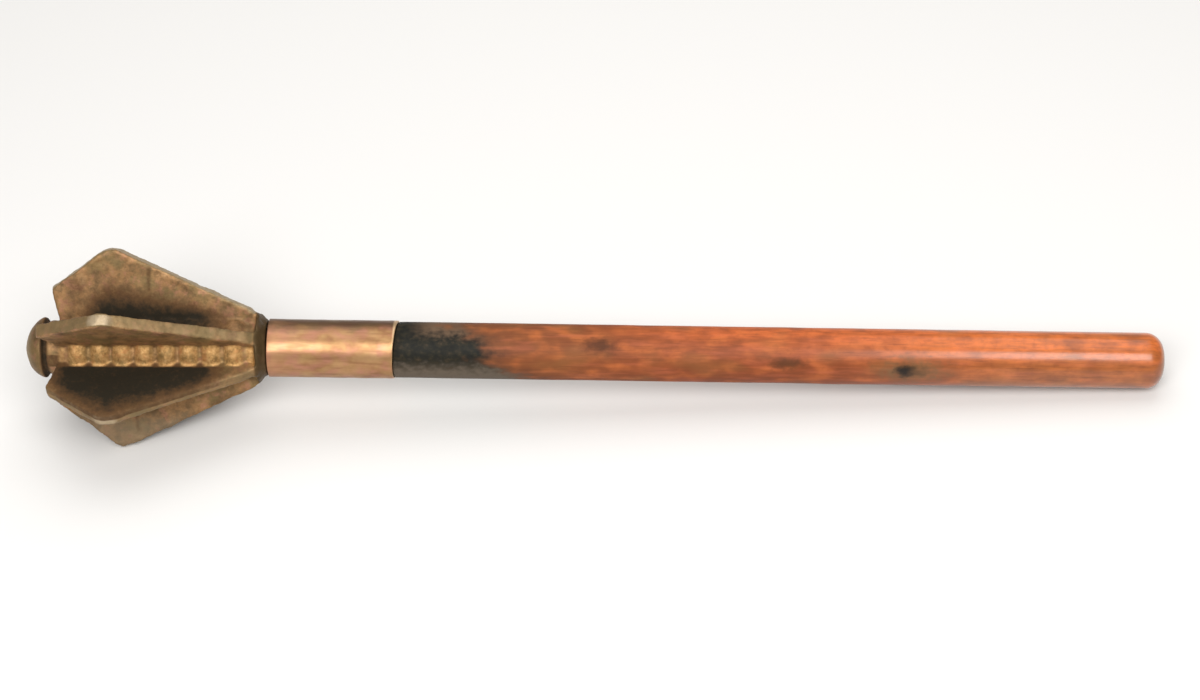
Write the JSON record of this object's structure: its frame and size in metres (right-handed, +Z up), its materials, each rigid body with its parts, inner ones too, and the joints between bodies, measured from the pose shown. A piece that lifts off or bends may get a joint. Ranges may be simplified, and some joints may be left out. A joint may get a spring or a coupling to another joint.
{
  "type": "ceremonial mace",
  "caption": "Flanged ceremonial mace: a cast head of winged blades with a knobbed tip, a metal sleeve below it and a plain round wooden shaft, lying down.",
  "frame": {"origin": "middle of the mace's outline, on the surface that it lies on", "axes": "+X from the head to the butt, +Z up, two flanges lying level along -Y and +Y"},
  "size_m": [0.5494, 0.098, 0.0878],
  "materials": {
    "bronze": "old cast bronze, brown and olive patina, brassy where it is rubbed",
    "copper_alloy": "worn copper-coloured alloy, satin, with brown tarnish",
    "red_wood": "reddish stained and varnished wood, stained nearly black beside the sleeve"
  },
  "bodies": {
    "root": {"mace_head": "bronze", "sleeve": "copper_alloy", "shaft": "red_wood"}
  },
  "joints": []
}
